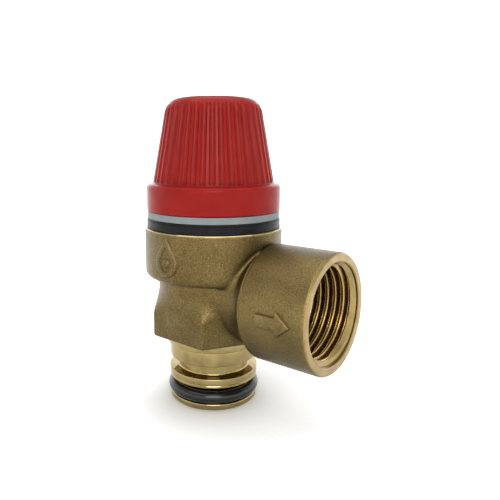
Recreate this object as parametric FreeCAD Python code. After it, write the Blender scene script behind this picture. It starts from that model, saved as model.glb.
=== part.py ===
import FreeCAD, Part
import math
import os

# Plug-in pressure relief valve. Millimetres. The valve axis is Z, with z = 0 on the
# end face of the inlet spigot; the outlet points along +X.

# ---- inlet spigot (turned) ----
SPIGOT_NOSE_R = 10.15
SPIGOT_NOSE_TOP = 1.6
NOSE_CHAMFER = 0.45
SEAL_GROOVE_R = 8.0
SEAL_GROOVE_TOP = 5.4
SPIGOT_R = 10.3
CLIP_GROOVE_R = 8.1
CLIP_GROOVE_Z = (7.5, 10.4)
NECK_TOP = 13.7
COLLAR_R = 10.9
O_RING_SECTION = 2.65
O_RING_OUTER_R = 10.6

# ---- forged body ----
HEX_AF = 25.0
HEX_Z = (15.7, 25.0)
HEX_CORNER_TOP = 21.9
HEX_CORNER_ROUND = 0.9
WAIST_R = 12.6
HEAD_R = 15.6
HEAD_Z = (29.3, 40.4)
OUTLET_Z = 25.6
OUTLET_FACE_X = 31.2
OUTLET_R = 12.4
NECK_R = 10.9
NECK_END_X = 16.3
HEAD_FLARE = 2.5
WAIST_FLARE = 2.0

# ---- outlet thread, G 1/2 female ----
THREAD_MINOR_R = 9.32
THREAD_MAJOR_R = 10.45
THREAD_WALL_R = 11.3
THREAD_PITCH = 1.814
THREAD_ROOT_WIDTH = 0.28
THREAD_MOUTH_WIDTH = 0.94
THREAD_BOTTOM_X = 17.9
THREAD_RUNOUT_X = 19.4
MOUTH_R = 10.7
MOUTH_DEPTH = 0.6

# ---- waterway and seat ----
INLET_BORE_R = 6.5
THROAT_R = 6.0
THROAT_Z = 12.0
SEAT_LIP_R = 7.3
SEAT_Z = 20.0
CHAMBER_R = 9.8
CHAMBER_FLOOR_Z = 17.5
OUTLET_PASSAGE_R = 6.5
BONNET_SEAT_Z = 33.5
BONNET_BORE_R = 13.0

# ---- cast marks ----
MARK_RAISE = 0.3
ARROW_X = (20.6, 28.3)
ARROW_HEAD_X = 25.0
ARROW_SHAFT_HALF = 1.25
ARROW_HEAD_HALF = 2.6
DROPLET_Z = 34.1
DROPLET_R = 2.9
DROPLET_TIP = 5.4

# ---- moving spindle ----
STEM_R = 2.0
STEM_Z = (15.6, 65.95)
NUT_AF = 7.0
NUT_H = 3.2
DISC_WASHER_R = 4.6
DISC_WASHER_Z = (19.2, 20.0)
SEAT_DISC_R = 8.0
SEAT_DISC_Z = (20.0, 23.0)
HOLDER_R = 8.6
HOLDER_Z = (21.0, 25.0)
SLEEVE_R = 3.2
LOWER_PLATE_R = 7.6
LOWER_PLATE_Z = (32.3, 33.5)
UPPER_PLATE_R = 7.9
UPPER_PLATE_Z = (34.7, 36.2)
SPRING_PILOT_R = 4.9
UPPER_PILOT_TOP = 37.5
CLIP_Z = (64.8, 65.6)
CLIP_R = 3.9
CLIP_GROOVE_CORE_R = 1.5
STEM_CLEARANCE = 0.1

# ---- diaphragm and bonnet ----
DIAPHRAGM_R = 12.85
DIAPHRAGM_T = 1.2
SLIP_RING_R = (9.8, 12.85)
SLIP_RING_T = 0.7
BONNET_THREAD_R = 12.95
BONNET_INNER_R = 9.0
BONNET_FLANGE_R = 15.1
BONNET_FLANGE_TOP = 42.65
RATING_RING_R = (11.55, 14.9)
RATING_RING_TOP = 44.05
ADJUSTER_BORE_R = 8.35
ADJUSTER_R = 8.3
ADJUSTER_Z = (54.8, 58.3)
ADJUSTER_HOLE_R = 2.7
SPRING_SEAT_R = 7.6
SPRING_SEAT_Z = (53.6, 54.8)
SPRING_MEAN_R = 6.2
SPRING_WIRE = 2.0
SPRING_TURNS = 6.0

# ---- lifting cam between bonnet and knob ----
CAM_R = (8.45, 9.8)
CAM_LOW_Z = 59.2
CAM_RISE_PER_DEG = 0.025
CAM_COUNT = 4
CAM_GAP = 0.1
CAM_SIDE_GAP_DEG = 1.2

# ---- test knob ----
RIM_R = 15.12
RIM_INNER_R = 13.7
RIM_Z = (44.2, 49.75)
CONE_BASE = (13.65, 50.3)
CONE_TOP = (10.75, 66.6)
KNOB_TOP = 68.75
SHOULDER_ROUND = 3.3
FLUTE_COUNT = 42
FLUTE_DEPTH = 0.42
FLUTE_R = (0.85, 0.66)
WEB_Z = (62.6, 64.0)
HUB_R = 4.6
HUB_BOTTOM = 60.6
HUB_HOLE_R = 2.7
POCKET_R = 6.2
COVER_R = 7.0
COVER_Z = 67.7
COVER_DOME = 0.3
LIFT_WASHER_R = 5.4
LIFT_WASHER_Z = (64.0, 64.8)

UP = FreeCAD.Vector(0, 0, 1)
ORIGIN = FreeCAD.Vector(0, 0, 0)


def rounded_wire(points):
    """Closed wire in the XZ plane through (r, z) or (r, z, corner radius) points."""
    corners = []
    count = len(points)
    for i, point in enumerate(points):
        here = FreeCAD.Vector(point[0], 0, point[1])
        if len(point) == 2:
            corners.append((here, here, None))
            continue
        before = FreeCAD.Vector(points[i - 1][0], 0, points[i - 1][1])
        after = FreeCAD.Vector(points[(i + 1) % count][0], 0, points[(i + 1) % count][1])
        to_before = (before - here).normalize()
        to_after = (after - here).normalize()
        half = to_before.getAngle(to_after) / 2
        trim = point[2] / math.tan(half)
        centre = here + (to_before + to_after).normalize() * (point[2] / math.sin(half))
        middle = centre + (here - centre).normalize() * point[2]
        corners.append((here + to_before * trim, here + to_after * trim, middle))
    edges = []
    for i, (start, end, middle) in enumerate(corners):
        if middle is not None:
            edges.append(Part.Arc(start, middle, end).toShape())
        following = corners[(i + 1) % count][0]
        if end.distanceToPoint(following) > 1e-6:
            edges.append(Part.makeLine(end, following))
    return Part.Wire(edges)


def turned(points):
    """Solid of revolution about Z from an (r, z) outline."""
    return Part.Face(rounded_wire(points)).revolve(ORIGIN, UP, 360)


def cylinder(radius, low, high):
    return Part.makeCylinder(radius, high - low, FreeCAD.Vector(0, 0, low))


def ring(inner, outer, low, high):
    return cylinder(outer, low, high).cut(cylinder(inner, low, high))


def hexagon(across_flats, low, high):
    """Hexagonal prism with a corner on +X."""
    corner = across_flats / math.sqrt(3)
    points = []
    for i in range(7):
        angle = math.radians(60 * i)
        points.append(FreeCAD.Vector(corner * math.cos(angle), corner * math.sin(angle), low))
    return Part.Face(Part.makePolygon(points)).extrude(UP * (high - low))


def copies(shape, count):
    """Equally spaced copies about Z."""
    found = []
    for i in range(count):
        copy = shape.copy()
        copy.rotate(ORIGIN, UP, 360 * i / count)
        found.append(copy)
    return found


def on_outlet(shape):
    """Move a shape built along +Z onto the outlet axis."""
    moved = shape.copy()
    moved.rotate(ORIGIN, FreeCAD.Vector(0, 1, 0), 90)
    moved.translate(FreeCAD.Vector(0, 0, OUTLET_Z))
    return moved


def vertical_edges(shape, low, high):
    found = []
    for edge in shape.Edges:
        box = edge.BoundBox
        if box.ZLength > (high - low) * 0.9 and box.XLength + box.YLength < 1e-3:
            found.append(edge)
    return found


def spigot_and_head():
    """Turned core: spigot with its two grooves, waist and head."""
    return turned([
        (0, 0),
        (SPIGOT_NOSE_R - NOSE_CHAMFER, 0),
        (SPIGOT_NOSE_R, NOSE_CHAMFER),
        (SPIGOT_NOSE_R, SPIGOT_NOSE_TOP),
        (SEAL_GROOVE_R, SPIGOT_NOSE_TOP),
        (SEAL_GROOVE_R, SEAL_GROOVE_TOP),
        (SPIGOT_R, SEAL_GROOVE_TOP, 0.15),
        (SPIGOT_R, CLIP_GROOVE_Z[0], 0.15),
        (CLIP_GROOVE_R, CLIP_GROOVE_Z[0]),
        (CLIP_GROOVE_R, CLIP_GROOVE_Z[1]),
        (SPIGOT_R, CLIP_GROOVE_Z[1], 0.15),
        (SPIGOT_R, NECK_TOP),
        (COLLAR_R, NECK_TOP, 0.15),
        (COLLAR_R, HEX_Z[0] + 0.3),
        (WAIST_R - 0.3, HEX_Z[0] + 0.3),
        (WAIST_R - 0.3, HEX_Z[1] - 0.4),
        (WAIST_R, HEX_Z[1] - 0.4),
        (WAIST_R, HEAD_Z[0], 0.8),
        (HEAD_R, HEAD_Z[0], 1.3),
        (HEAD_R, HEAD_Z[1] - 0.35),
        (HEAD_R - 0.35, HEAD_Z[1]),
        (0, HEAD_Z[1]),
    ])


def wrench_hexagon():
    """Hexagon under the head, its corners rounded and coned off at the top."""
    prism = hexagon(HEX_AF, *HEX_Z)
    prism = prism.makeFillet(HEX_CORNER_ROUND, vertical_edges(prism, *HEX_Z))
    corner = HEX_AF / math.sqrt(3)
    trim = turned([
        (0, HEX_Z[0]),
        (corner - 0.5, HEX_Z[0]),
        (corner + 0.2, HEX_Z[0] + 0.7),
        (corner + 0.2, HEX_CORNER_TOP),
        (WAIST_R, HEX_Z[1]),
        (0, HEX_Z[1]),
    ])
    return prism.common(trim)


def outlet_boss():
    """Round outlet boss, with the slightly smaller neck behind it."""
    return on_outlet(turned([
        (0, 0),
        (NECK_R, 0),
        (NECK_R, NECK_END_X),
        (OUTLET_R, NECK_END_X, 0.7),
        (OUTLET_R, OUTLET_FACE_X, 0.4),
        (0, OUTLET_FACE_X),
    ]))


def flow_arrow():
    """Raised flow arrow, wrapped on the side of the outlet boss."""
    tail, tip = ARROW_X
    outline = [
        (tail, -ARROW_SHAFT_HALF),
        (ARROW_HEAD_X, -ARROW_SHAFT_HALF),
        (ARROW_HEAD_X, -ARROW_HEAD_HALF),
        (tip, 0),
        (ARROW_HEAD_X, ARROW_HEAD_HALF),
        (ARROW_HEAD_X, ARROW_SHAFT_HALF),
        (tail, ARROW_SHAFT_HALF),
    ]
    points = [FreeCAD.Vector(x, -20, OUTLET_Z + z) for x, z in outline]
    face = Part.Face(Part.makePolygon(points + points[:1]))
    prism = face.extrude(FreeCAD.Vector(0, 15, 0))
    skin = on_outlet(ring(OUTLET_R - 0.3, OUTLET_R + MARK_RAISE, tail - 1, tip + 1))
    return prism.common(skin)


def droplet_face(radius, tip):
    """Water-drop outline in the XZ plane, round below and pointed above."""
    touch = math.acos(radius / tip)
    right = FreeCAD.Vector(radius * math.sin(touch), 0, radius * math.cos(touch))
    left = FreeCAD.Vector(-right.x, 0, right.z)
    arc = Part.Arc(left, FreeCAD.Vector(0, 0, -radius), right).toShape()
    point = FreeCAD.Vector(0, 0, tip)
    return Part.Face(Part.Wire([arc, Part.makeLine(right, point), Part.makeLine(point, left)]))


def droplet_mark():
    """Raised water-drop outline with a dot in it, wrapped on the head."""
    outline = droplet_face(DROPLET_R, DROPLET_TIP)
    outline = outline.cut(droplet_face(DROPLET_R - 0.85, DROPLET_TIP - 1.6))
    outline.translate(FreeCAD.Vector(0, -20, DROPLET_Z))
    dot = Part.makeCylinder(0.8, 8, FreeCAD.Vector(0, -20, DROPLET_Z), FreeCAD.Vector(0, 1, 0))
    prism = outline.extrude(FreeCAD.Vector(0, 8, 0)).fuse(dot)
    skin = ring(HEAD_R - 0.3, HEAD_R + MARK_RAISE, HEAD_Z[0], HEAD_Z[1])
    return prism.common(skin)


def inlet_waterway():
    """Space along the valve axis: inlet, seat chamber and bonnet bore."""
    return turned([
        (0, -1),
        (INLET_BORE_R + 0.6, -1),
        (INLET_BORE_R + 0.6, 0),
        (INLET_BORE_R, 0.6),
        (INLET_BORE_R, THROAT_Z),
        (THROAT_R, THROAT_Z + 0.8),
        (THROAT_R, SEAT_Z - 0.2),
        (THROAT_R + 0.2, SEAT_Z),
        (SEAT_LIP_R - 0.4, SEAT_Z),
        (SEAT_LIP_R, SEAT_Z - 0.7),
        (SEAT_LIP_R, CHAMBER_FLOOR_Z),
        (CHAMBER_R, CHAMBER_FLOOR_Z, 0.6),
        (CHAMBER_R, BONNET_SEAT_Z),
        (BONNET_BORE_R, BONNET_SEAT_Z),
        (BONNET_BORE_R, HEAD_Z[1] - 0.5),
        (BONNET_BORE_R + 0.5, HEAD_Z[1]),
        (BONNET_BORE_R + 0.5, HEAD_Z[1] + 1),
        (0, HEAD_Z[1] + 1),
    ])


def outlet_waterway():
    """Space along the outlet axis: passage, tapping drill and recessed mouth."""
    recess_r = MOUTH_R - 0.2
    recess_x = OUTLET_FACE_X - MOUTH_DEPTH
    return on_outlet(turned([
        (0, CHAMBER_R - 3),
        (OUTLET_PASSAGE_R, CHAMBER_R - 3),
        (OUTLET_PASSAGE_R, THREAD_BOTTOM_X - 0.8),
        (THREAD_MINOR_R, THREAD_BOTTOM_X),
        (THREAD_MINOR_R, recess_x - (recess_r - THREAD_MINOR_R)),
        (recess_r, recess_x),
        (recess_r, OUTLET_FACE_X - 0.2),
        (MOUTH_R, OUTLET_FACE_X),
        (MOUTH_R, OUTLET_FACE_X + 1),
        (0, OUTLET_FACE_X + 1),
    ]))


def threaded_wall():
    """Inner wall of the outlet boss with the helical thread groove cut in it."""
    length = OUTLET_FACE_X - 0.4 - THREAD_RUNOUT_X
    path = Part.makeHelix(THREAD_PITCH, length, THREAD_MINOR_R)
    half_mouth = THREAD_MOUTH_WIDTH / 2 + 0.04
    profile = [
        (THREAD_MINOR_R - 0.15, -half_mouth),
        (THREAD_MAJOR_R, -THREAD_ROOT_WIDTH / 2),
        (THREAD_MAJOR_R, THREAD_ROOT_WIDTH / 2),
        (THREAD_MINOR_R - 0.15, half_mouth),
    ]
    points = [FreeCAD.Vector(r, 0, z) for r, z in profile]
    section = Part.makePolygon(points + points[:1])
    groove = Part.Wire(path).makePipeShell([section], True, True)
    groove.translate(UP * THREAD_RUNOUT_X)
    wall = ring(THREAD_MINOR_R, THREAD_WALL_R, THREAD_BOTTOM_X, OUTLET_FACE_X)
    return on_outlet(wall.cut(groove)).cut(outlet_waterway())


def flare(core_r, radius, low, high):
    """Fillet between an upright core and the outlet neck, kept between two heights."""
    neck = on_outlet(cylinder(NECK_R, 0, OUTLET_FACE_X - 3))
    joined = cylinder(core_r, 0, 2 * OUTLET_Z).fuse(neck)
    seam = []
    for edge in joined.Edges:
        span = edge.LastParameter - edge.FirstParameter
        points = [edge.valueAt(edge.FirstParameter + span * part) for part in (0.3, 0.5)]
        on_neck = all(abs(math.hypot(p.y, p.z - OUTLET_Z) - NECK_R) < 0.02 for p in points)
        on_core = all(abs(math.hypot(p.x, p.y) - core_r) < 0.02 for p in points)
        if on_neck and on_core:
            seam.append(edge)
    corner = FreeCAD.Vector(3, -OUTLET_R, low)
    slab = Part.makeBox(OUTLET_FACE_X, 2 * OUTLET_R, high - low, corner)
    return joined.makeFillet(radius, seam).common(slab)


def valve_body():
    """Forging with its turned spigot, cast marks, waterway and outlet thread."""
    solids = [
        wrench_hexagon(),
        flare(HEAD_R, HEAD_FLARE, HEAD_Z[0], HEAD_Z[1] - 0.35),
        flare(WAIST_R, WAIST_FLARE, HEX_Z[1] - 0.4, HEAD_Z[0]),
        outlet_boss(),
        flow_arrow(),
        droplet_mark(),
    ]
    body = spigot_and_head().fuse(solids).removeSplitter()
    bore = on_outlet(cylinder(THREAD_WALL_R, THREAD_BOTTOM_X, OUTLET_FACE_X + 1))
    for space in (inlet_waterway(), outlet_waterway(), bore):
        body = body.cut(space)
    return body.fuse(threaded_wall()).removeSplitter()


def inlet_o_ring():
    section = O_RING_SECTION / 2
    centre = FreeCAD.Vector(0, 0, SPIGOT_NOSE_TOP + section)
    return Part.makeTorus(O_RING_OUTER_R - section, section, centre, UP)


def seat_disc():
    low, high = SEAT_DISC_Z
    return turned([
        (STEM_R, low),
        (SEAT_DISC_R, low, 0.2),
        (SEAT_DISC_R, high),
        (STEM_R, high),
    ])


def disc_holder():
    """Cup that carries the seat disc."""
    low, high = HOLDER_Z
    return turned([
        (STEM_R, SEAT_DISC_Z[1]),
        (SEAT_DISC_R, SEAT_DISC_Z[1]),
        (SEAT_DISC_R, low),
        (HOLDER_R, low, 0.15),
        (HOLDER_R, high, 0.8),
        (STEM_R, high),
    ])


def stem_nut(low):
    """Hexagon nut with chamfered corners."""
    high = low + NUT_H
    corner = NUT_AF / math.sqrt(3)
    trim = turned([
        (STEM_R, low),
        (NUT_AF / 2, low),
        (corner + 0.1, low + 0.35),
        (corner + 0.1, high - 0.35),
        (NUT_AF / 2, high),
        (STEM_R, high),
    ])
    return hexagon(NUT_AF, low, high).common(trim)


def stem():
    """Rod with chamfered ends and the groove for the retaining clip."""
    low, high = STEM_Z
    return turned([
        (0, low),
        (STEM_R - 0.4, low),
        (STEM_R, low + 0.4),
        (STEM_R, CLIP_Z[0]),
        (CLIP_GROOVE_CORE_R, CLIP_Z[0]),
        (CLIP_GROOVE_CORE_R, CLIP_Z[1]),
        (STEM_R, CLIP_Z[1]),
        (STEM_R, high - 0.3),
        (STEM_R - 0.3, high),
        (0, high),
    ])


def lower_diaphragm_plate():
    low, high = LOWER_PLATE_Z
    return turned([
        (STEM_R, low),
        (LOWER_PLATE_R - 0.6, low),
        (LOWER_PLATE_R, low + 0.6),
        (LOWER_PLATE_R, high, 0.3),
        (STEM_R, high),
    ])


def diaphragm():
    """Disc with one raised roll between the clamped rim and the plates."""
    low = BONNET_SEAT_Z
    high = low + DIAPHRAGM_T
    return turned([
        (STEM_R, low),
        (UPPER_PLATE_R, low),
        (UPPER_PLATE_R + 0.5, low + 0.4, 0.3),
        (CHAMBER_R - 0.6, low + 0.4, 0.3),
        (CHAMBER_R - 0.1, low),
        (DIAPHRAGM_R, low),
        (DIAPHRAGM_R, high),
        (CHAMBER_R - 0.1, high),
        (CHAMBER_R - 0.6, high + 0.4, 0.3),
        (UPPER_PLATE_R + 0.5, high + 0.4, 0.3),
        (UPPER_PLATE_R, high),
        (STEM_R, high),
    ])


def upper_diaphragm_plate():
    """Plate over the diaphragm, with the pilot that centres the spring."""
    low, high = UPPER_PLATE_Z
    return turned([
        (STEM_R, low),
        (UPPER_PLATE_R, low, 0.3),
        (UPPER_PLATE_R, high, 0.2),
        (SPRING_PILOT_R, high),
        (SPRING_PILOT_R, UPPER_PILOT_TOP, 0.4),
        (STEM_R, UPPER_PILOT_TOP),
    ])


def main_spring():
    """Round-wire compression spring, wound half a turn long and ground flat at both ends."""
    low = UPPER_PLATE_Z[1]
    high = SPRING_SEAT_Z[0]
    pitch = (high - low) / SPRING_TURNS
    path = Part.makeHelix(pitch, high - low + pitch, SPRING_MEAN_R)
    start = FreeCAD.Vector(SPRING_MEAN_R, 0, 0)
    section = Part.Wire(Part.makeCircle(SPRING_WIRE / 2, start, FreeCAD.Vector(0, 1, 0)))
    coil = Part.Wire(path).makePipeShell([section], True, True)
    coil.translate(UP * (low - pitch / 2))
    return coil.common(cylinder(SPRING_MEAN_R + SPRING_WIRE, low, high))


def upper_spring_seat():
    low, high = SPRING_SEAT_Z
    return turned([
        (ADJUSTER_HOLE_R, low - 1.4),
        (SPRING_PILOT_R, low - 1.4, 0.4),
        (SPRING_PILOT_R, low),
        (SPRING_SEAT_R, low, 0.2),
        (SPRING_SEAT_R, high, 0.2),
        (ADJUSTER_HOLE_R, high),
    ])


def adjusting_nut():
    """Threaded ring that sets the opening pressure, slotted for a key."""
    low, high = ADJUSTER_Z
    nut = turned([
        (ADJUSTER_HOLE_R, low),
        (ADJUSTER_R - 0.4, low),
        (ADJUSTER_R, low + 0.4),
        (ADJUSTER_R, high - 0.4),
        (ADJUSTER_R - 0.4, high),
        (ADJUSTER_HOLE_R, high),
    ])
    for angle in (0, 90):
        slot = Part.makeBox(2 * ADJUSTER_R + 2, 2.2, 2, FreeCAD.Vector(-ADJUSTER_R - 1, -1.1, high - 1.2))
        slot.rotate(ORIGIN, UP, angle)
        nut = nut.cut(slot)
    return nut


def cam_ramp(inner, outer, rest_z, depth):
    """Body under a helical surface that climbs counter-clockwise from just before 0 degrees."""
    lead_in = 10
    pitch = CAM_RISE_PER_DEG * 360
    span = 360 / CAM_COUNT + 2 * lead_in
    near = Part.makeHelix(pitch, CAM_RISE_PER_DEG * span, inner)
    far = Part.makeHelix(pitch, CAM_RISE_PER_DEG * span, outer)
    sheet = Part.makeRuledSurface(near.Edges[0], far.Edges[0])
    sheet.rotate(ORIGIN, UP, -lead_in)
    sheet.translate(UP * (rest_z - CAM_RISE_PER_DEG * lead_in))
    return sheet.extrude(UP * -depth)


def quarter_ring(inner, outer, low, high, start_deg, end_deg):
    """Ring sector from one angle to another about Z."""
    points = [FreeCAD.Vector(inner, 0, low), FreeCAD.Vector(outer, 0, low),
              FreeCAD.Vector(outer, 0, high), FreeCAD.Vector(inner, 0, high)]
    face = Part.Face(Part.makePolygon(points + points[:1]))
    face.rotate(ORIGIN, UP, start_deg)
    return face.revolve(ORIGIN, UP, end_deg - start_deg)


def bonnet_cams():
    """Saw-tooth ramps on top of the bonnet."""
    step = 360 / CAM_COUNT
    rise = CAM_RISE_PER_DEG * step
    sector = quarter_ring(*CAM_R, CAM_LOW_Z - 0.5, CAM_LOW_Z + rise + 1, 0, step)
    tooth = sector.common(cam_ramp(CAM_R[0] - 1, CAM_R[1] + 1, CAM_LOW_Z, 6))
    return copies(tooth, CAM_COUNT)


def knob_cams():
    """Matching ramps under the web of the knob, a running gap above the bonnet's."""
    step = 360 / CAM_COUNT
    inner = CAM_R[0] - 0.1
    outer = CAM_R[1] + 0.1
    sector = quarter_ring(inner, outer, CAM_LOW_Z - 0.5, WEB_Z[0] + 0.3, CAM_SIDE_GAP_DEG, step)
    tooth = sector.cut(cam_ramp(inner - 1, outer + 1, CAM_LOW_Z + CAM_GAP, 6))
    return copies(tooth, CAM_COUNT)


def bonnet():
    """Spring housing: threaded skirt, flange, ring seat and tapered tower with cams on top."""
    low = BONNET_SEAT_Z + DIAPHRAGM_T + SLIP_RING_T
    shell = turned([
        (BONNET_INNER_R + 0.6, low),
        (BONNET_THREAD_R - 0.4, low),
        (BONNET_THREAD_R, low + 0.4),
        (BONNET_THREAD_R, HEAD_Z[1]),
        (BONNET_FLANGE_R, HEAD_Z[1], 0.15),
        (BONNET_FLANGE_R, BONNET_FLANGE_TOP - 0.45, 0.1),
        (BONNET_FLANGE_R - 0.25, BONNET_FLANGE_TOP - 0.45),
        (BONNET_FLANGE_R - 0.25, BONNET_FLANGE_TOP, 0.1),
        (RATING_RING_R[0] - 0.05, BONNET_FLANGE_TOP),
        (RATING_RING_R[0] - 0.05, RATING_RING_TOP),
        (RATING_RING_R[0] - 0.4, RATING_RING_TOP + 0.4),
        (CAM_R[1], CAM_LOW_Z - 2.5),
        (CAM_R[1], CAM_LOW_Z - 0.2),
        (ADJUSTER_BORE_R, CAM_LOW_Z - 0.2),
        (ADJUSTER_BORE_R, SPRING_SEAT_Z[0] - 3),
        (BONNET_INNER_R, SPRING_SEAT_Z[0] - 3.65),
        (BONNET_INNER_R, low + 0.6),
    ])
    return shell.fuse(bonnet_cams())


def knob_shell():
    """Outer form of the test knob with its cavity, web, hub and cover pocket."""
    outside = turned([
        (0, RIM_Z[0]),
        (RIM_R, RIM_Z[0], 0.15),
        (RIM_R, RIM_Z[1], 0.9),
        (CONE_BASE[0] + 0.35, CONE_BASE[1] - 0.1, 0.1),
        (CONE_BASE[0], CONE_BASE[1], 0.1),
        CONE_TOP,
        (CONE_TOP[0] - 0.12, KNOB_TOP, SHOULDER_ROUND),
        (0, KNOB_TOP),
    ])
    cavity = turned([
        (0, RIM_Z[0] - 1),
        (RIM_INNER_R, RIM_Z[0] - 1),
        (RIM_INNER_R, RIM_Z[1] - 1.6, 0.4),
        (CONE_BASE[0] - 1.5, CONE_BASE[1] - 0.8, 0.4),
        (CAM_R[1] + 0.5, WEB_Z[0], 0.3),
        (0, WEB_Z[0]),
    ])
    hub = cylinder(HUB_R, HUB_BOTTOM, WEB_Z[0] + 0.3)
    pocket = cylinder(POCKET_R, WEB_Z[1], KNOB_TOP + 1)
    cover_seat = cylinder(COVER_R, COVER_Z, KNOB_TOP + 1)
    stem_hole = cylinder(HUB_HOLE_R, HUB_BOTTOM - 1, KNOB_TOP + 1)
    shell = outside.cut(cavity).fuse([hub] + knob_cams())
    return shell.cut(pocket.fuse(cover_seat)).cut(stem_hole)


def flute_cutters():
    """Tapered round cutters that leave the grip ribs on the cone."""
    low = FreeCAD.Vector(CONE_BASE[0], 0, CONE_BASE[1])
    high = FreeCAD.Vector(CONE_TOP[0], 0, CONE_TOP[1])
    along = (high - low).normalize()
    outward = FreeCAD.Vector(along.z, 0, -along.x)
    start = low + along * 0.25 + outward * (FLUTE_R[0] - FLUTE_DEPTH)
    end = high + along * 1.6 + outward * (FLUTE_R[1] - FLUTE_DEPTH)
    length = start.distanceToPoint(end)
    cutter = Part.makeCone(FLUTE_R[0], FLUTE_R[1], length, start, end - start)
    return copies(cutter, FLUTE_COUNT)


def knob():
    return knob_shell().cut(Part.makeCompound(flute_cutters()))


def knob_cover():
    """Slightly domed disc that closes the top of the knob."""
    dome_r = (COVER_R ** 2 + COVER_DOME ** 2) / (2 * COVER_DOME)
    centre = FreeCAD.Vector(0, 0, KNOB_TOP + COVER_DOME - dome_r)
    blank = cylinder(COVER_R - 0.05, COVER_Z, KNOB_TOP + 1)
    return blank.common(Part.makeSphere(dome_r, centre))


def stem_clip():
    """Open retaining clip in the groove near the top of the stem."""
    low, high = CLIP_Z
    clip = ring(CLIP_GROOVE_CORE_R, CLIP_R, low, high)
    return clip.cut(Part.makeBox(6, 2.2, 3, FreeCAD.Vector(0, -1.1, low - 1)))


def build_nodes():
    sleeve = (HOLDER_Z[1], LOWER_PLATE_Z[0])
    slip_low = BONNET_SEAT_Z + DIAPHRAGM_T
    nuts = [stem_nut(DISC_WASHER_Z[0] - NUT_H), stem_nut(UPPER_PILOT_TOP)]
    return {
        "valve_body": valve_body(),
        "inlet_o_ring": inlet_o_ring(),
        "stem": stem(),
        "stem_nuts": Part.makeCompound(nuts),
        "disc_washer": ring(STEM_R, DISC_WASHER_R, *DISC_WASHER_Z),
        "seat_disc": seat_disc(),
        "disc_holder": disc_holder(),
        "spacer_sleeve": ring(STEM_R, SLEEVE_R, *sleeve),
        "lower_diaphragm_plate": lower_diaphragm_plate(),
        "diaphragm": diaphragm(),
        "upper_diaphragm_plate": upper_diaphragm_plate(),
        "slip_ring": ring(*SLIP_RING_R, slip_low, slip_low + SLIP_RING_T),
        "bonnet": bonnet(),
        "rating_ring": ring(*RATING_RING_R, BONNET_FLANGE_TOP, RATING_RING_TOP),
        "main_spring": main_spring(),
        "upper_spring_seat": upper_spring_seat(),
        "adjusting_nut": adjusting_nut(),
        "knob": knob(),
        "lift_washer": ring(STEM_R + STEM_CLEARANCE, LIFT_WASHER_R, *LIFT_WASHER_Z),
        "stem_clip": stem_clip(),
        "knob_cover": knob_cover(),
    }


os.makedirs("parts", exist_ok=True)
for node, shape in build_nodes().items():
    print(node, shape.isValid(), len(shape.Solids), round(shape.Volume, 1))
    shape.exportStep("parts/" + node + ".step")
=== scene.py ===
import math

import bpy
import numpy as np
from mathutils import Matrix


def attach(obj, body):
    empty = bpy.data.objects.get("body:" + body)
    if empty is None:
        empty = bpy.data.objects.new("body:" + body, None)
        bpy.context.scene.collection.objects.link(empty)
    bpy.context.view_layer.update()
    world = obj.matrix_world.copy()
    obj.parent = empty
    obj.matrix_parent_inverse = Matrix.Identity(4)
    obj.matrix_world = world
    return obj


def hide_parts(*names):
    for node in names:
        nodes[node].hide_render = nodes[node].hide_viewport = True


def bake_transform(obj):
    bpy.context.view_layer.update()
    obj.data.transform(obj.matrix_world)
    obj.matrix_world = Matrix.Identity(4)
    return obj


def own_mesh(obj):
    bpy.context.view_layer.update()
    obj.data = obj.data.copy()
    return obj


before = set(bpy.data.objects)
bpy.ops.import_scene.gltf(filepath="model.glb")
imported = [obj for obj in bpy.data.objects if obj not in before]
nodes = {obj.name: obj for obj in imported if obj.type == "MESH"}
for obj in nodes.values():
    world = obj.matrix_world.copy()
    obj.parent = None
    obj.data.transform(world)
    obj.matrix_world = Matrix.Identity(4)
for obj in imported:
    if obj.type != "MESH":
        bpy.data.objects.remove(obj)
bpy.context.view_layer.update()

# All lengths below are millimetres unless a name says otherwise; meshes are scaled to metres.
MM = 0.001
OUTLET_Z = 25.6
OUTLET_R = 12.4
OUTLET_FACE_X = 31.2
BOSS_BACK_X = 16.3
HEAD_R = 15.6
HEAD_Z = (29.3, 40.4)
WAIST_R = 12.6
HEX_HALF_WIDTH = 12.55
HEX_Z = (15.7, 25.0)

# waterways inside the body
THROAT_R = 6.0
SEAT_LIP_R = 7.3
SEAT_Z = 20.0
CHAMBER_R = 9.8
CHAMBER_FLOOR_Z = 17.5
BONNET_BORE_R = 13.0
OUTLET_PASSAGE_R = 6.5
OUTLET_PASSAGE_X = 6.5
THREAD_ROOM_R = 11.3
THREAD_ROOM_X = 17.0

# female pipe thread of the outlet
THREAD_MINOR_R = 9.32
THREAD_DEPTH = 1.15
THREAD_PITCH = 1.814

# parts that give way when the valve opens
DIAPHRAGM_Z = (33.5, 34.7)
SPRING_Z = (36.2, 53.6)

# grid steps of the forging's mesh
FINE_STEP = 0.18

BODY = "valve"


# ---------------------------------------------------------------- mesh helpers

def mesh_object(name, verts, faces, sharp_deg=None):
    """Mesh object from millimetre vertices and equal-sided faces, smooth shaded."""
    verts = np.asarray(verts, dtype=np.float32) * MM
    faces = np.asarray(faces, dtype=np.int32)
    sides = faces.shape[1]
    mesh = bpy.data.meshes.new(name)
    mesh.vertices.add(len(verts))
    mesh.vertices.foreach_set("co", verts.ravel())
    mesh.loops.add(faces.size)
    mesh.loops.foreach_set("vertex_index", faces.ravel())
    mesh.polygons.add(len(faces))
    mesh.polygons.foreach_set("loop_start", np.arange(0, faces.size, sides, dtype=np.int32))
    mesh.update(calc_edges=True)
    mesh.shade_smooth()
    if sharp_deg is not None:
        mesh.set_sharp_from_angle(angle=math.radians(sharp_deg))
    obj = bpy.data.objects.new(name, mesh)
    bpy.context.scene.collection.objects.link(obj)
    return obj


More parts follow.
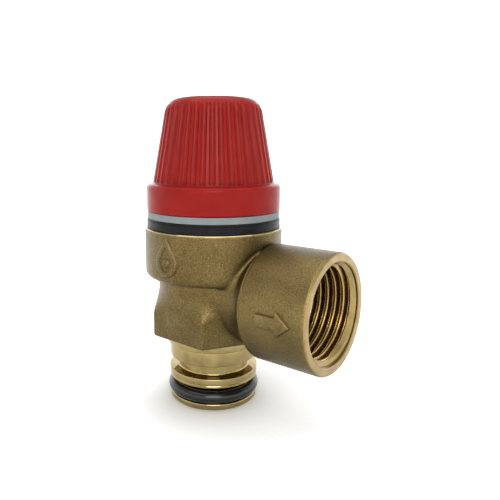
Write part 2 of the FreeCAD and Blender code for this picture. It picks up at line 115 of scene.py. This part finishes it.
def wrapped_grid(rows, columns, flip=False):
    """Quads of a grid of vertices that closes on itself both ways."""
    row, column = np.meshgrid(np.arange(rows), np.arange(columns), indexing="ij")
    next_row = (row + 1) % rows
    next_column = (column + 1) % columns
    quads = np.stack([row * columns + column, row * columns + next_column,
                      next_row * columns + next_column, next_row * columns + column], axis=-1)
    quads = quads.reshape(-1, 4)
    return quads[:, ::-1] if flip else quads


def swept_ring(radii, heights, along_x=False):
    """Vertices of a closed outline turned about the valve axis, or about the outlet axis.

    radii has one row for each outline point and one column for each angle."""
    rows, columns = radii.shape
    angle = np.linspace(0, 2 * math.pi, columns, endpoint=False)[None, :]
    level = np.repeat(np.asarray(heights, dtype=float)[:, None], columns, axis=1)
    first = radii * np.cos(angle)
    second = radii * np.sin(angle)
    if along_x:
        verts = np.stack([level, first, second + OUTLET_Z], axis=-1)
    else:
        verts = np.stack([first, second, level], axis=-1)
    return verts.reshape(-1, 3)


def softened(outline, default=0.06):
    """Closed (r, z) outline with each corner rounded; a third number sets that corner's radius."""
    steps = 3
    longest_trim = 0.45
    points = []
    count = len(outline)
    for i, corner in enumerate(outline):
        here = np.array(corner[:2], dtype=float)
        before = np.array(outline[i - 1][:2], dtype=float) - here
        after = np.array(outline[(i + 1) % count][:2], dtype=float) - here
        before_length = np.linalg.norm(before)
        after_length = np.linalg.norm(after)
        before /= before_length
        after /= after_length
        half = math.acos(max(-1.0, min(1.0, float(before @ after)))) / 2
        radius = corner[2] if len(corner) > 2 else default
        trim = min(radius / math.tan(half), before_length * longest_trim, after_length * longest_trim)
        radius = trim * math.tan(half)
        centre = here + (before + after) / np.linalg.norm(before + after) * radius / math.sin(half)
        start = here + before * trim - centre
        end = here + after * trim - centre
        for step in range(steps + 1):
            part = step / steps
            spoke = start * (1 - part) + end * part
            points.append(centre + spoke / np.linalg.norm(spoke) * radius)
    return points


def lathe(name, outline, segments=288):
    """Closed piece turned about the valve axis, from an (r, z) outline that keeps off it."""
    points = np.array(softened(outline))
    ahead = np.roll(points, -1, axis=0)
    turned_in = np.sum(points[:, 0] * ahead[:, 1] - ahead[:, 0] * points[:, 1]) > 0
    radii = np.repeat(points[:, :1], segments, axis=1)
    verts = swept_ring(radii, points[:, 1])
    return mesh_object(name, verts, wrapped_grid(len(points), segments, flip=not turned_in))


# ---------------------------------------------------------------- distance fields

def smooth_min(a, b, width):
    """Smaller of two fields, rounded where they cross over a band of this width."""
    blend = np.clip(0.5 + 0.5 * (b - a) / width, 0, 1)
    return b * (1 - blend) + a * blend - width * blend * (1 - blend)


def smooth_max(a, b, width):
    """Larger of two fields, rounded where they cross."""
    return -smooth_min(-a, -b, width)


def polygon_distance(x, y, corners):
    """Signed distance in the plane to a polygon, negative inside."""
    best = np.full(x.shape, 1e9, dtype=np.float32)
    crossings = np.zeros(x.shape, dtype=bool)
    for i, (ax, ay) in enumerate(corners):
        bx, by = corners[(i + 1) % len(corners)]
        ex, ey = bx - ax, by - ay
        part = np.clip(((x - ax) * ex + (y - ay) * ey) / (ex * ex + ey * ey), 0, 1)
        best = np.minimum(best, np.hypot(x - ax - part * ex, y - ay - part * ey))
        spans = (ay > y) != (by > y)
        if ey != 0:
            crossings ^= spans & (x < ax + (y - ay) * ex / ey)
    return np.where(crossings, -best, best)


def iso_mesh(field, origin, step):
    """Closed surface-net mesh of the zero level of a sampled distance field."""
    inside = field < 0
    cells_shape = tuple(size - 1 for size in field.shape)
    corners = [(i, j, k) for i in (0, 1) for j in (0, 1) for k in (0, 1)]
    count = np.zeros(cells_shape, dtype=np.uint8)
    for i, j, k in corners:
        count += inside[i:i + cells_shape[0], j:j + cells_shape[1], k:k + cells_shape[2]]
    mixed = (count > 0) & (count < 8)
    cells = np.argwhere(mixed)
    index = np.full(cells_shape, -1, dtype=np.int32)
    index[mixed] = np.arange(len(cells))
    total = np.zeros((len(cells), 3))
    hits = np.zeros(len(cells))
    for near in corners:
        for axis in range(3):
            if near[axis]:
                continue
            far = list(near)
            far[axis] = 1
            at_near = field[tuple((cells + near).T)]
            at_far = field[tuple((cells + far).T)]
            crossing = (at_near < 0) != (at_far < 0)
            part = at_near[crossing] / (at_near[crossing] - at_far[crossing])
            spot = np.repeat(np.array([near], dtype=float), len(part), axis=0)
            spot[:, axis] += part
            total[crossing] += spot
            hits[crossing] += 1
    verts = np.asarray(origin) + step * (cells + total / hits[:, None])
    quads = []
    for axis in range(3):
        one, two = [other for other in range(3) if other != axis]
        low = [slice(1, size) for size in cells_shape]
        low[axis] = slice(0, cells_shape[axis])
        high = list(low)
        high[axis] = slice(1, cells_shape[axis] + 1)
        start = inside[tuple(low)]
        crossing = np.argwhere(start != inside[tuple(high)])
        leaving = start[tuple(crossing.T)]
        base = crossing.copy()
        base[:, one] += 1
        base[:, two] += 1
        ring = []
        for back_one, back_two in ((1, 1), (0, 1), (0, 0), (1, 0)):
            cell = base.copy()
            cell[:, one] -= back_one
            cell[:, two] -= back_two
            ring.append(index[tuple(cell.T)])
        ring = np.stack(ring, axis=1)
        turn = leaving if axis != 1 else ~leaving
        quads.append(np.where(turn[:, None], ring, ring[:, ::-1]))
    return verts, np.concatenate(quads)


# ---------------------------------------------------------------- brass forging

def hexagon_field(x, y, z, rho):
    """Wrench hexagon with its corners cut back by a cone at the top."""
    corner_round, shoulder_round, bottom_round = 0.35, 0.7, 0.5
    slope_r, slope_z = 0.861, 0.508
    inside_head_z = 30
    flats = None
    for degrees in range(30, 360, 60):
        turn = math.radians(degrees)
        side = x * math.cos(turn) + y * math.sin(turn) - HEX_HALF_WIDTH
        flats = side if flats is None else smooth_max(flats, side, corner_round)
    cone = slope_r * (rho - WAIST_R) + slope_z * (z - HEX_Z[1])
    block = smooth_max(flats, cone, shoulder_round)
    block = smooth_max(block, HEX_Z[0] - z, bottom_round)
    return np.maximum(block, z - inside_head_z)


def flow_arrow_field(x, z, out):
    """Raised flow arrow on the outlet boss."""
    tail, shoulder, tip = 20.6, 25.0, 28.3
    half_shaft, half_head = 1.25, 2.6
    raised, edge_round = 0.6, 0.25
    arrow = polygon_distance(x, z - OUTLET_Z, [
        (tail, -half_shaft), (shoulder, -half_shaft), (shoulder, -half_head), (tip, 0),
        (shoulder, half_head), (shoulder, half_shaft), (tail, half_shaft)])
    return smooth_max(arrow, np.abs(out - OUTLET_R) - raised, edge_round)


def water_drop_field(x, z, rho):
    """Raised outline of a water drop with a dot in it, on the head."""
    drop_r, drop_tip, drop_z = 2.9, 5.4, 34.1
    half_line, dot_r = 0.5, 0.85
    raised, edge_round = 0.29, 0.12
    arc_steps = 40
    touch = math.acos(drop_r / drop_tip)
    corners = [(0, drop_tip)]
    for step in range(arc_steps + 1):
        angle = math.pi / 2 - touch - step / arc_steps * (2 * math.pi - 2 * touch)
        corners.append((drop_r * math.cos(angle), drop_r * math.sin(angle)))
    shape = polygon_distance(x, z - drop_z, corners)
    line = np.abs(shape + half_line) - half_line
    dot = np.hypot(x, z - drop_z) - dot_r
    return smooth_max(np.minimum(line, dot), np.abs(rho - HEAD_R) - raised, edge_round)


def neck_field(x, out):
    """Neck from the body to the boss, swelling towards the boss."""
    root_r, swelling = 9.9, 1.5
    swell_start, swell_length, end_x = 12.0, 3.6, 24
    swell = np.clip((x - swell_start) / swell_length, 0, 1)
    return np.maximum(np.maximum(out - root_r - swelling * swell * swell, -x), x - end_x)


def solid_field(x, y, z, rho, out):
    """Forged body before the waterways are opened in it."""
    waist_bottom_z = 16.5
    head_round, boss_round, crease_round, face_round = 1.7, 0.6, 0.15, 0.5
    waist_fillet, neck_fillet, head_fillet, mark_fillet = 0.8, 1.2, 0.3, 0.1
    crease_r, crease_x, crease_out = 0.65, 16.1, 11.75
    left_for_turning = 0.15
    head = smooth_max(rho - HEAD_R, HEAD_Z[0] - z, head_round)
    waist = np.maximum(rho - WAIST_R, waist_bottom_z - z)
    lower = smooth_min(waist, hexagon_field(x, y, z, rho), waist_fillet)
    neck = neck_field(x, out)
    upper_half = smooth_min(head, neck, neck_fillet)
    lower_half = smooth_min(lower, neck, neck_fillet)
    body = smooth_min(upper_half, lower_half, head_fillet)
    crease = crease_r - np.hypot(x - crease_x, out - crease_out)
    boss = smooth_max(out - OUTLET_R, BOSS_BACK_X - x, boss_round)
    body = np.minimum(smooth_max(body, crease, crease_round), boss)
    front = y < 0
    arrow = flow_arrow_field(x[front], z[front], out[front])
    drop = water_drop_field(x[front], z[front], rho[front])
    body[front] = smooth_min(smooth_min(body[front], arrow, mark_fillet), drop, mark_fillet)
    body = smooth_max(body, x - (OUTLET_FACE_X - left_for_turning), face_round)
    return np.maximum(body, z - (HEAD_Z[1] - left_for_turning))


def waterway_field(x, z, rho, out):
    """Space inside the body: throat, chamber round the raised seat, bonnet bore and outlet."""
    raised_seat = np.maximum(rho - SEAT_LIP_R, z - SEAT_Z)
    chamber = np.maximum(np.maximum(rho - CHAMBER_R, CHAMBER_FLOOR_Z - z), -raised_seat)
    space = np.minimum(chamber, rho - THROAT_R)
    space = np.minimum(space, np.maximum(rho - BONNET_BORE_R, DIAPHRAGM_Z[0] - z))
    space = np.minimum(space, np.maximum(out - OUTLET_PASSAGE_R, OUTLET_PASSAGE_X - x))
    return np.minimum(space, np.maximum(out - THREAD_ROOM_R, THREAD_ROOM_X - x))


def forging_field(x, y, z):
    """Distance to the forged part of the body, waterways removed."""
    rho = np.hypot(x, y)
    out = np.hypot(y, z - OUTLET_Z)
    return np.maximum(solid_field(x, y, z, rho, out), -waterway_field(x, z, rho, out))


def brass_forging(step):
    """Forged part of the body, meshed from its distance field on a grid of this step."""
    low = np.array([-16.6, -16.6, 12.6])
    high = np.array([31.8, 16.6, 40.8])
    axes = [np.arange(low[i], high[i], step, dtype=np.float32) for i in range(3)]
    x, y, z = np.meshgrid(*axes, indexing="ij")
    verts, quads = iso_mesh(forging_field(x, y, z), low, step)
    return mesh_object("brass_forging", verts, quads)


# ---------------------------------------------------------------- turned brass

def spigot():
    """Plug-in spigot: nose, seal groove, clip groove, neck and collar."""
    return lathe("turned_spigot", [
        (6.5, 0.6), (7.1, 0.0), (9.7, 0.0, 0.2), (10.15, 0.5, 0.3), (10.15, 1.6, 0.25),
        (8.0, 1.6, 0.2), (8.0, 5.4, 0.2), (10.25, 5.4, 0.1), (10.25, 5.8, 0.05),
        (10.15, 5.95, 0.05), (10.3, 6.1, 0.05), (10.3, 7.5, 0.15), (8.1, 7.5, 0.3),
        (8.1, 10.4, 0.2), (10.3, 10.4, 0.2), (10.3, 13.55, 0.1), (10.2, 13.65, 0.05),
        (10.9, 13.75, 0.2), (10.9, 15.9), (6.3, 15.9), (6.0, 12.8), (6.5, 12.0)])


def top_edge():
    """Faced rim of the head, where the bonnet's flange lands."""
    return lathe("turned_head_rim", [
        (13.0, 39.6), (13.0, 40.0), (13.4, 40.4), (15.4, 40.4, 0.05), (15.57, 40.23, 0.05),
        (15.57, 40.1), (15.2, 39.8)])


def whitworth(phase, pitch, depth):
    """Depth of a 55 degree thread groove with rounded crest and root, phase in turns."""
    sharp_height, rounding = 0.9605, 0.12
    full = sharp_height * pitch
    ramp = np.abs(2 * (phase - np.floor(phase)) - 1) * full - (full - depth) / 2
    soft = rounding * pitch
    ramp = smooth_max(ramp, np.zeros_like(ramp), soft)
    return smooth_min(ramp, np.full_like(ramp, depth), soft)


def threaded_outlet():
    """Turned mouth of the outlet with its female pipe thread and bored bottom."""
    segments, step_x = 320, 0.055
    bottom_x, runout_x, chamfer_x, top_x = 17.92, 18.9, 29.42, 30.6
    runout_length = 0.9
    angle = np.linspace(0, 2 * math.pi, segments, endpoint=False)
    cut_x = np.arange(bottom_x, top_x, step_x)
    inner = []
    for x in cut_x:
        groove = whitworth(x / THREAD_PITCH - angle / (2 * math.pi), THREAD_PITCH, THREAD_DEPTH)
        cut_in = (x - runout_x - runout_length * angle / (2 * math.pi)) / runout_length
        mouth = THREAD_MINOR_R + max(0.0, x - chamfer_x)
        inner.append(np.maximum(THREAD_MINOR_R + groove * np.clip(cut_in, 0, 1), mouth))
    outline = np.array(softened([
        (10.5, 30.6, 0.05), (10.5, 31.0, 0.05), (10.72, 31.2, 0.05), (12.02, 31.2, 0.08),
        (12.22, 31.0, 0.05), (12.22, 30.8), (11.35, 30.6), (11.35, 16.9), (6.5, 16.9),
        (6.5, 17.1, 0.02), (9.25, 17.85, 0.05)], default=0.02))
    fixed = np.repeat(outline[:, :1], segments, axis=1)
    radii = np.concatenate([np.array(inner), fixed])
    levels = np.concatenate([cut_x, outline[:, 1]])
    verts = swept_ring(radii, levels, along_x=True)
    return mesh_object("threaded_outlet", verts, wrapped_grid(len(radii), segments, flip=True), sharp_deg=40)


# ---------------------------------------------------------------- parts that give way inside

def diaphragm_centre():
    """Middle of the diaphragm, clamped between the two plates, so it rises with the stem."""
    low, high = DIAPHRAGM_Z
    hole_r, centre_r = 2.02, 7.86
    return lathe("diaphragm_centre", [
        (hole_r, low), (centre_r, low), (centre_r, high), (hole_r, high)], segments=96)


def diaphragm_rim():
    """Roll and rim of the diaphragm, held on the body's ledge by the slip ring."""
    low, high = DIAPHRAGM_Z
    roll_low, roll_high = 33.9, 35.1
    inner_r, rim_r = 7.96, 12.85
    roll_r = (8.4, CHAMBER_R - 0.6)
    return lathe("diaphragm_rim", [
        (inner_r, 33.52), (roll_r[0], roll_low, 0.3), (roll_r[1], roll_low, 0.3),
        (CHAMBER_R - 0.1, low), (rim_r, low), (rim_r, high), (CHAMBER_R - 0.1, high),
        (roll_r[1], roll_high, 0.3), (roll_r[0], roll_high, 0.3), (inner_r, 34.72)], segments=96)


def spring_coils(name, first, last):
    """Main spring between two shares of its length. The whole spring is ground flat at its ends."""
    turns, mean_r, wire_r = 6.0, 6.2, 1.0
    end_inset = 0.4
    low, high = SPRING_Z
    steps, sides = 145, 16
    share = np.linspace(first, last, steps)[:, None]
    turn = 2 * math.pi * turns * share
    around = np.linspace(0, 2 * math.pi, sides, endpoint=False)[None, :]
    middle = low + end_inset + (high - low - 2 * end_inset) * share
    radius = mean_r + wire_r * np.cos(around)
    level = np.clip(middle + wire_r * np.sin(around), low, high)
    verts = np.stack([radius * np.cos(turn), radius * np.sin(turn), level], axis=-1).reshape(-1, 3)
    row, side = np.meshgrid(np.arange(steps - 1), np.arange(sides), indexing="ij")
    here = (row * sides + side).ravel()
    beside = (row * sides + (side + 1) % sides).ravel()
    walls = np.concatenate([np.stack([here, here + sides, beside + sides], axis=1),
                            np.stack([here, beside + sides, beside], axis=1)])
    fan = np.array([(0, i, i + 1) for i in range(1, sides - 1)])
    faces = np.concatenate([walls, fan, fan[:, ::-1] + (steps - 1) * sides])
    return mesh_object(name, verts, faces, sharp_deg=50)


# ---------------------------------------------------------------- materials

class Nodes:
    """A new node material and short ways to add nodes to it."""

    def __init__(self, name):
        self.material = bpy.data.materials.new(name)
        self.material.use_nodes = True
        self.tree = self.material.node_tree
        self.shader = self.tree.nodes["Principled BSDF"]
        coordinates = self.tree.nodes.new("ShaderNodeTexCoord")
        scale = self.tree.nodes.new("ShaderNodeVectorMath")
        scale.operation = "SCALE"
        scale.inputs["Scale"].default_value = 1 / MM
        self.tree.links.new(coordinates.outputs["Object"], scale.inputs[0])
        self.place = scale.outputs[0]

    def link(self, source, socket):
        """Feed a socket from an output."""
        self.tree.links.new(source, socket)

    def axes(self):
        """X, Y and Z of the place on the object, in millimetres."""
        split = self.tree.nodes.new("ShaderNodeSeparateXYZ")
        self.link(self.place, split.inputs[0])
        return tuple(split.outputs)

    def noise(self, scale, detail=2.0, roughness=0.5, vector=None):
        """Noise with this many features to the millimetre, by place unless a vector is given."""
        node = self.tree.nodes.new("ShaderNodeTexNoise")
        node.inputs["Scale"].default_value = scale
        node.inputs["Detail"].default_value = detail
        node.inputs["Roughness"].default_value = roughness
        self.link(vector or self.place, node.inputs["Vector"])
        return node.outputs["Fac"]

    def ramp(self, value, stops):
        """Colour or grey that runs through the stops as the value goes up."""
        node = self.tree.nodes.new("ShaderNodeValToRGB")
        elements = node.color_ramp.elements
        while len(elements) < len(stops):
            elements.new(0.5)
        for element, (position, colour) in zip(elements, stops):
            element.position = position
            if not isinstance(colour, tuple):
                colour = (colour, colour, colour)
            element.color = (*colour, 1)
        self.link(value, node.inputs["Fac"])
        return node.outputs["Color"]

    def math(self, operation, a, b=None):
        """Result of one operation on numbers or outputs."""
        node = self.tree.nodes.new("ShaderNodeMath")
        node.operation = operation
        for socket, value in zip(node.inputs, (a, b)):
            if value is None:
                continue
            if isinstance(value, (int, float)):
                socket.default_value = value
            else:
                self.link(value, socket)
        return node.outputs[0]

    def mix(self, factor, a, b, blend="MIX"):
        """Two colours mixed by a factor."""
        node = self.tree.nodes.new("ShaderNodeMix")
        node.data_type = "RGBA"
        node.blend_type = blend
        sockets = (node.inputs[0], node.inputs[6], node.inputs[7])
        for socket, value in zip(sockets, (factor, a, b)):
            if isinstance(value, tuple):
                socket.default_value = (*value, 1)
            elif isinstance(value, (int, float)):
                socket.default_value = value
            else:
                self.link(value, socket)
        return node.outputs[2]

    def bump(self, height, strength, distance_mm, normal=None):
        """Normal disturbed by a height, on top of another normal if one is given."""
        node = self.tree.nodes.new("ShaderNodeBump")
        node.inputs["Strength"].default_value = strength
        node.inputs["Distance"].default_value = distance_mm * MM
        self.link(height, node.inputs["Height"])
        if normal is not None:
            self.link(normal, node.inputs["Normal"])
        return node.outputs["Normal"]

    def turned_place(self, along_x):
        """Coordinates that do not change round the axis, for turning marks."""
        x, y, z = self.axes()
        join = self.tree.nodes.new("ShaderNodeCombineXYZ")
        if along_x:
            across, along = (y, self.math("SUBTRACT", z, OUTLET_Z)), x
        else:
            across, along = (x, y), z
        squares = [self.math("POWER", part, 2.0) for part in across]
        radius = self.math("SQRT", self.math("ADD", *squares))
        self.link(radius, join.inputs[0])
        self.link(along, join.inputs[2])
        return join.outputs[0]


def forged_brass():
    """Forging with fine pits, bright flecks, and painted shade that darkens hollows most, flats a little and
    edges not at all.

    All but the outlet boss is painted darker, as shade, with more flecks. The amounts are tuned, not
    measured."""
    boss_from_x = 15.7
    off_boss_painted_shade = 0.79
    off_boss_flecks, boss_flecks = 0.45, 0.2
    look = Nodes("forged_brass")
    grain = look.noise(4.2, 3.0, 0.6)
    speck = look.noise(7.0, 1.0, 0.5)
    cloud = look.noise(0.16, 4.0, 0.6)
    on_boss = look.math("GREATER_THAN", look.axes()[0], boss_from_x)
    base = look.ramp(cloud, [(0.3, (0.128, 0.093, 0.035)), (0.7, (0.184, 0.137, 0.056))])
    pits = look.ramp(grain, [(0.36, (0.58, 0.53, 0.44)), (0.54, (1.0, 1.0, 1.0))])
    base = look.mix(1.0, base, pits, "MULTIPLY")
    # painted shade: the head and hexagon are darkened against the outlet boss
    base = look.mix(1.0, base, look.ramp(on_boss, [(0.0, off_boss_painted_shade), (1.0, 1.0)]), "MULTIPLY")
    # painted shade from pointiness: hollows and creases darkest, convex edges left at full tone
    painted_hollow_shade = look.tree.nodes.new("ShaderNodeNewGeometry").outputs["Pointiness"]
    base = look.mix(1.0, base, look.ramp(painted_hollow_shade, [(0.46, 0.45), (0.5, 0.8), (0.54, 1.0)]), "MULTIPLY")
    fleck_share = look.ramp(on_boss, [(0.0, off_boss_flecks), (1.0, boss_flecks)])
    flecks = look.math("MULTIPLY", look.ramp(speck, [(0.60, 0.0), (0.74, 1.0)]), fleck_share)
    base = look.mix(flecks, base, (0.50, 0.34, 0.10))
    look.link(base, look.shader.inputs["Base Color"])
    look.shader.inputs["Metallic"].default_value = 1.0
    rough = look.ramp(grain, [(0.3, 0.46), (0.7, 0.34)])
    look.link(look.mix(flecks, rough, (0.2, 0.2, 0.2)), look.shader.inputs["Roughness"])
    coarse = look.bump(look.noise(1.3, 2.0, 0.5), 0.35, 0.08)
    look.link(look.bump(grain, 0.8, 0.07, coarse), look.shader.inputs["Normal"])
    return look.material


def turned_brass(name, along_x, tint, tint_dark, rough):
    """Turned brass with marks round its axis; on the outlet, the last stretch is duller."""
    dull_from_x = OUTLET_FACE_X - 1.6
    look = Nodes(name)
    place = look.turned_place(along_x)
    marks = look.noise(7.0, 3.0, 0.6, place)
    smear = look.noise(0.35, 3.0, 0.55)
    base = look.ramp(smear, [(0.3, tint_dark), (0.65, tint)])
    roughness = look.ramp(marks, [(0.3, rough - 0.04), (0.7, rough + 0.04)])
    if along_x:
        face = look.math("GREATER_THAN", look.axes()[0], dull_from_x)
        dull = look.ramp(smear, [(0.3, (0.20, 0.14, 0.055)), (0.65, (0.27, 0.195, 0.08))])
        base = look.mix(face, base, dull)
        roughness = look.mix(face, roughness, look.ramp(marks, [(0.3, 0.26), (0.7, 0.36)]))
    look.link(base, look.shader.inputs["Base Color"])
    look.shader.inputs["Metallic"].default_value = 1.0
    look.link(roughness, look.shader.inputs["Roughness"])
    look.link(look.bump(marks, 0.3, 0.006), look.shader.inputs["Normal"])
    return look.material


def red_plastic():
    """Moulded red plastic, with painted shade darkening the flutes and corners."""
    low_shine = 0.07
    look = Nodes("red_plastic")
    cloud = look.noise(0.22, 3.0, 0.5)
    base = look.ramp(cloud, [(0.3, (0.138, 0.0045, 0.003)), (0.7, (0.163, 0.006, 0.004))])
    # painted shade: ambient occlusion darkens the flutes and corners
    corner = look.tree.nodes.new("ShaderNodeAmbientOcclusion")
    corner.samples = 8
    corner.inputs["Distance"].default_value = 1.2 * MM
    base = look.mix(1.0, base, look.ramp(corner.outputs["AO"], [(0.45, 0.40), (0.92, 1.0)]), "MULTIPLY")
    look.link(base, look.shader.inputs["Base Color"])
    look.link(look.ramp(look.noise(1.2, 3.0), [(0.3, 0.17), (0.7, 0.24)]), look.shader.inputs["Roughness"])
    look.shader.inputs["Specular IOR Level"].default_value = low_shine
    look.link(look.bump(look.noise(4.0, 2.0), 0.15, 0.02), look.shader.inputs["Normal"])
    return look.material


def dull_plastic(name, dark, light, rough, grain_mm=0.02, shine=0.08):
    """Plain moulded plastic or rubber with a faint grain."""
    look = Nodes(name)
    base = look.ramp(look.noise(0.5, 4.0, 0.6), [(0.3, dark), (0.7, light)])
    look.link(base, look.shader.inputs["Base Color"])
    look.link(look.ramp(look.noise(1.5, 3.0), [(0.3, rough - 0.03), (0.7, rough + 0.03)]),
              look.shader.inputs["Roughness"])
    look.link(look.bump(look.noise(5.0, 2.0), 0.25, grain_mm), look.shader.inputs["Normal"])
    look.shader.inputs["Specular IOR Level"].default_value = shine
    return look.material


def steel():
    """Bright steel with marks round the valve axis."""
    look = Nodes("bright_steel")
    marks = look.noise(6.0, 3.0, 0.6, look.turned_place(False))
    look.link(look.ramp(marks, [(0.3, (0.42, 0.42, 0.44)), (0.7, (0.60, 0.60, 0.62))]),
              look.shader.inputs["Base Color"])
    look.shader.inputs["Metallic"].default_value = 1.0
    look.link(look.ramp(marks, [(0.3, 0.22), (0.7, 0.36)]), look.shader.inputs["Roughness"])
    look.link(look.bump(marks, 0.2, 0.02), look.shader.inputs["Normal"])
    return look.material


def paint(obj, material):
    """Give an object this material and no other."""
    obj.data.materials.clear()
    obj.data.materials.append(material)


# ---------------------------------------------------------------- assembly

forging = brass_forging(FINE_STEP)
spigot_piece = spigot()
rim_piece = top_edge()
mouth_piece = threaded_outlet()
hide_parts("valve_body")
for piece in (forging, spigot_piece, rim_piece, mouth_piece):
    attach(piece, BODY)

centre_piece = diaphragm_centre()
rim_of_diaphragm = diaphragm_rim()
lower_coils = spring_coils("lower_coils", 0, 0.5)
upper_coils = spring_coils("upper_coils", 0.5, 1)
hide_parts("diaphragm")
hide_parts("main_spring")
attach(centre_piece, "spindle")
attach(rim_of_diaphragm, BODY)
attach(lower_coils, "lift_collar")
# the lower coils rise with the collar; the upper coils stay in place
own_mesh(lower_coils)
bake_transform(upper_coils)

axial_brass = turned_brass("turned_brass_axial", False,
                           (0.32, 0.25, 0.108), (0.23, 0.175, 0.073), 0.10)
outlet_brass = turned_brass("turned_brass_outlet", True,
                            (0.40, 0.265, 0.095), (0.30, 0.19, 0.066), 0.24)
inner_brass = turned_brass("turned_brass_inner", False,
                           (0.70, 0.53, 0.25), (0.52, 0.38, 0.17), 0.15)
red = red_plastic()
black = dull_plastic("black_plastic", (0.003, 0.003, 0.0035), (0.007, 0.007, 0.008), 0.34)
grey = dull_plastic("grey_plastic", (0.112, 0.127, 0.124), (0.138, 0.155, 0.152), 0.5)
white = dull_plastic("white_plastic", (0.70, 0.70, 0.68), (0.82, 0.82, 0.80), 0.4)
rubber = dull_plastic("black_rubber", (0.005, 0.005, 0.005), (0.008, 0.008, 0.008), 0.17, 0.008, 0.3)
metal = steel()

paint(forging, forged_brass())
paint(spigot_piece, axial_brass)
paint(rim_piece, axial_brass)
paint(mouth_piece, outlet_brass)
paint(centre_piece, rubber)
paint(rim_of_diaphragm, rubber)
paint(lower_coils, metal)
paint(upper_coils, metal)
finishes = {
    "inlet_o_ring": rubber, "seat_disc": rubber,
    "bonnet": black, "rating_ring": grey, "slip_ring": white,
    "knob": red, "knob_cover": red,
    "adjusting_nut": inner_brass, "disc_holder": inner_brass, "spacer_sleeve": inner_brass,
    "lower_diaphragm_plate": inner_brass, "upper_diaphragm_plate": inner_brass,
    "upper_spring_seat": metal, "lift_washer": metal, "stem": metal,
    "stem_nuts": metal, "disc_washer": metal, "stem_clip": metal,
}
for node_name, finish in finishes.items():
    paint(nodes[node_name], finish)


# ---------------------------------------------------------------- floor, light and camera

def stage():
    """Pale floor that curves up into a round backdrop on every side."""
    flat, bend, top, segments = 450.0, 300.0, 430.0, 96
    bend_steps = 16
    below_object, thickness = 0.02, 10.0
    profile = [(1.0, 0.0), (flat * 0.5, 0.0), (flat, 0.0)]
    for step in range(1, bend_steps + 1):
        angle = step / bend_steps * math.pi / 2
        profile.append((flat + bend * math.sin(angle), bend * (1 - math.cos(angle))))
    profile.append((flat + bend, top))
    profile = [(r, z - below_object) for r, z in profile]
    below = [(r + thickness, z - thickness) for r, z in reversed(profile)]
    points = np.array(profile + below)
    radii = np.repeat(points[:, :1], segments, axis=1)
    verts = swept_ring(radii, points[:, 1])
    bowl = mesh_object("pale_floor", verts, wrapped_grid(len(points), segments, flip=True))
    look = Nodes("pale_floor")
    shade = look.ramp(look.noise(0.02, 2.0), [(0.3, 0.88), (0.7, 0.92)])
    look.link(shade, look.shader.inputs["Base Color"])
    look.shader.inputs["Roughness"].default_value = 0.8
    look.shader.inputs["Emission Color"].default_value = (1, 1, 1, 1)
    look.shader.inputs["Emission Strength"].default_value = 0.35
    paint(bowl, look.material)


def area_light(name, place, target, size, power):
    """White rectangular lamp at a place, facing a target; metres and watts."""
    data = bpy.data.lights.new(name, "AREA")
    data.shape = "RECTANGLE"
    data.size, data.size_y = size
    data.energy = power
    lamp = bpy.data.objects.new(name, data)
    lamp.location = place
    direction = np.array(target) - np.array(place)
    lamp.rotation_euler = vector_to_euler(direction)
    bpy.context.scene.collection.objects.link(lamp)


def vector_to_euler(direction):
    """Euler angles that turn -Z along a direction, with the local X axis level."""
    dx, dy, dz = direction / np.linalg.norm(direction)
    return (math.pi / 2 + math.asin(dz), 0.0, math.atan2(dy, dx) - math.pi / 2)


stage()
area_light("overhead", place=(0.0, 0.0, 1.0), target=(0, 0, 0), size=(1.1, 1.1), power=9.0)
area_light("front", place=(0.200, -0.241, 0.205), target=(0, 0, 0.02), size=(0.2, 0.14), power=0.7)

world = bpy.data.worlds.new("studio")
world.use_nodes = True
background = world.node_tree.nodes["Background"]
background.inputs["Color"].default_value = (1, 1, 1, 1)
background.inputs["Strength"].default_value = 1.0
bpy.context.scene.world = world

camera_data = bpy.data.cameras.new("camera")
camera_data.lens = 37.45
camera_data.sensor_width = 36.0
camera_data.shift_x = 0.073
camera_data.shift_y = -0.0534
camera_data.clip_start = 0.005
camera_data.dof.use_dof = False
camera = bpy.data.objects.new("camera", camera_data)
camera_x, camera_y, camera_z = 0.0755, -0.0909, 0.0585
tilt_down = math.radians(8.53)
camera.location = (camera_x, camera_y, camera_z)
camera.rotation_euler = (math.pi / 2 - tilt_down, 0, math.atan2(-camera_y, -camera_x) - math.pi / 2)
bpy.context.scene.collection.objects.link(camera)
bpy.context.scene.camera = camera
bpy.context.scene.view_settings.view_transform = "Standard"
